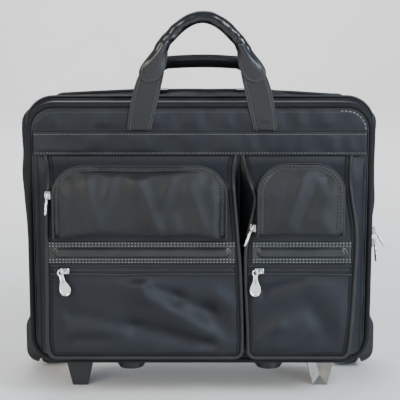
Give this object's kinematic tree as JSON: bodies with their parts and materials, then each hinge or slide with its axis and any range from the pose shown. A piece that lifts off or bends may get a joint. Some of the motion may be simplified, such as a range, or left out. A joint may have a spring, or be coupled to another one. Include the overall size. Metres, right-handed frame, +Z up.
{
  "type": "rolling laptop case",
  "caption": "Soft nylon laptop case on wheels with bellows pockets, arched zipped pouches, leather trim, carry handles, support legs and a telescoping pull handle.",
  "frame": {"origin": "floor level, under the middle of the outer box of the case as it stands with both carry handles up and the pull handle down", "axes": "+X to the right seen from the front, +Y from the front pockets to the rear, +Z up"},
  "size_m": [0.4785, 0.2081, 0.494],
  "materials": {
    "nylon": "satin ballistic weave",
    "lining": "plain woven lining",
    "piping": "smooth bonded leather cord",
    "leather": "smooth semi-gloss leather",
    "zip_tape": "woven tape with a nylon coil",
    "base_plastic": "textured moulding",
    "silver_leg": "bright grey moulding",
    "tube_metal": "satin drawn tube",
    "steel": "zinc plated",
    "nickel": "satin nickel plate",
    "tyre": "smooth rubber",
    "hub_plastic": "moulded hub"
  },
  "bodies": {
    "case": {"main_shell": "nylon", "base_tray": "base_plastic", "back_board": "lining", "laptop_divider": "lining", "rear_piping": "piping", "main_zip_rear": "zip_tape", "zip_end_tabs": "leather", "wheel_housing_left": "base_plastic", "wheel_housing_right": "base_plastic", "axles": "steel", "front_leg_left": "base_plastic", "front_leg_right": "silver_leg", "base_studs": "base_plastic", "skid_rails": "base_plastic", "outer_tubes": "tube_metal", "handle_bezel": "base_plastic", "tube_foot": "base_plastic", "rear_cover": "nylon", "base_screws": "steel", "rear_handle_anchors": "leather"},
    "front_section": {"front_shell": "nylon", "organiser_panel": "lining", "front_piping": "piping", "seam_strip": "nylon", "main_zip_front": "zip_tape", "bellows_left": "nylon", "bellows_right": "nylon", "pouch_left": "nylon", "pouch_right": "nylon", "leather_strips": "leather", "pocket_zips": "zip_tape", "pouch_zips": "zip_tape", "fan_gussets": "nylon"},
    "front_carry_handle": {"front_straps": "nylon", "front_grip": "leather", "grip_tabs": "leather"},
    "rear_carry_handle": {"rear_straps": "nylon", "rear_grip": "leather"},
    "wheel_left": {"tyre_left": "tyre", "hub_left": "hub_plastic"},
    "wheel_right": {"tyre_right": "tyre", "hub_right": "hub_plastic"},
    "handle_stage_1": {"mid_tubes": "tube_metal", "mid_collars": "base_plastic"},
    "handle_stage_2": {"inner_tubes": "tube_metal", "trolley_grip": "base_plastic"},
    "handle_release": {"release_button": "nickel", "release_rods": "steel"},
    "main_slider_upper": {"main_slider_upper": "nickel"},
    "main_pull_upper": {"main_pull_upper": "nickel"},
    "main_slider_lower": {"main_slider_lower": "nickel"},
    "main_pull_lower": {"main_pull_lower": "nickel"},
    "pocket_slider_left": {"pocket_slider_left": "nickel"},
    "pocket_pull_left": {"pocket_pull_left": "nickel"},
    "pocket_slider_right": {"pocket_slider_right": "nickel"},
    "pocket_pull_right": {"pocket_pull_right": "nickel"},
    "pouch_slider_left": {"pouch_slider_left": "nickel"},
    "pouch_pull_left": {"pouch_pull_left": "nickel"},
    "pouch_slider_right": {"pouch_slider_right": "nickel"},
    "pouch_pull_right": {"pouch_pull_right": "nickel"}
  },
  "joints": [
    {"name": "front_section_fold", "type": "hinge", "parent": "case", "child": "front_section", "pos_m": [0, -0.0275, 0.047], "axis": [1, 0, 0], "range_deg": [0, 28], "deforming": ["fan_gussets"]},
    {"name": "front_carry_handle_swing", "type": "hinge", "parent": "front_section", "child": "front_carry_handle", "pos_m": [0, -0.0617, 0.346], "axis": [1, 0, 0], "range_deg": [0, 120]},
    {"name": "rear_carry_handle_swing", "type": "hinge", "parent": "case", "child": "rear_carry_handle", "pos_m": [0, 0.076, 0.387], "axis": [1, 0, 0], "range_deg": [-105, 55]},
    {"name": "wheel_left_spin", "type": "hinge", "parent": "case", "child": "wheel_left", "pos_m": [-0.208, 0.074, 0.031], "axis": [1, 0, 0], "continuous": true},
    {"name": "wheel_right_spin", "type": "hinge", "parent": "case", "child": "wheel_right", "pos_m": [0.208, 0.074, 0.031], "axis": [1, 0, 0], "continuous": true},
    {"name": "handle_stage_1_slide", "type": "slide", "parent": "case", "child": "handle_stage_1", "axis": [0, 0, 1], "range_m": [0, 0.235]},
    {"name": "handle_stage_2_slide", "type": "slide", "parent": "handle_stage_1", "child": "handle_stage_2", "axis": [0, 0, 1], "range_m": [0, 0.235]},
    {"name": "handle_release_press", "type": "slide", "parent": "handle_stage_2", "child": "handle_release", "axis": [0, 0, -1], "range_m": [0, 0.003], "stiffness_N_per_m": 500},
    {"name": "main_slider_upper_travel", "type": "slide", "parent": "case", "child": "main_slider_upper", "axis": [0, 0, 1], "range_m": [0, 0.13]},
    {"name": "main_pull_upper_swing", "type": "hinge", "parent": "main_slider_upper", "child": "main_pull_upper", "pos_m": [0.2267, -0.0275, 0.211], "axis": [0, -1, 0], "range_deg": [0, 90]},
    {"name": "main_slider_lower_travel", "type": "slide", "parent": "case", "child": "main_slider_lower", "axis": [0, 0, 1], "range_m": [-0.02, 0.003]},
    {"name": "main_pull_lower_swing", "type": "hinge", "parent": "main_slider_lower", "child": "main_pull_lower", "pos_m": [0.2267, -0.0275, 0.195], "axis": [0, -1, 0], "range_deg": [0, 45]},
    {"name": "pocket_slider_left_travel", "type": "slide", "parent": "front_section", "child": "pocket_slider_left", "axis": [1, 0, 0], "range_m": [0, 0.208]},
    {"name": "pocket_pull_left_swing", "type": "hinge", "parent": "pocket_slider_left", "child": "pocket_pull_left", "pos_m": [-0.174, -0.0972, 0.173], "axis": [-1, 0, 0], "range_deg": [0, 140]},
    {"name": "pocket_slider_right_travel", "type": "slide", "parent": "front_section", "child": "pocket_slider_right", "axis": [1, 0, 0], "range_m": [0, 0.11]},
    {"name": "pocket_pull_right_swing", "type": "hinge", "parent": "pocket_slider_right", "child": "pocket_pull_right", "pos_m": [0.069, -0.0972, 0.173], "axis": [-1, 0, 0], "range_deg": [0, 140]},
    {"name": "pouch_slider_left_travel", "type": "slide", "parent": "front_section", "child": "pouch_slider_left", "axis": [0, 0, 1], "range_m": [-0.03, 0]},
    {"name": "pouch_pull_left_swing", "type": "hinge", "parent": "pouch_slider_left", "child": "pouch_pull_left", "pos_m": [-0.1886, -0.0968, 0.27], "axis": [0, 1, 0], "range_deg": [0, 100]},
    {"name": "pouch_slider_right_travel", "type": "slide", "parent": "front_section", "child": "pouch_slider_right", "axis": [0, 0, 1], "range_m": [-0.006, 0.036]},
    {"name": "pouch_pull_right_swing", "type": "hinge", "parent": "pouch_slider_right", "child": "pouch_pull_right", "pos_m": [0.0644, -0.0968, 0.229], "axis": [0, 1, 0], "range_deg": [0, 60]}
  ]
}
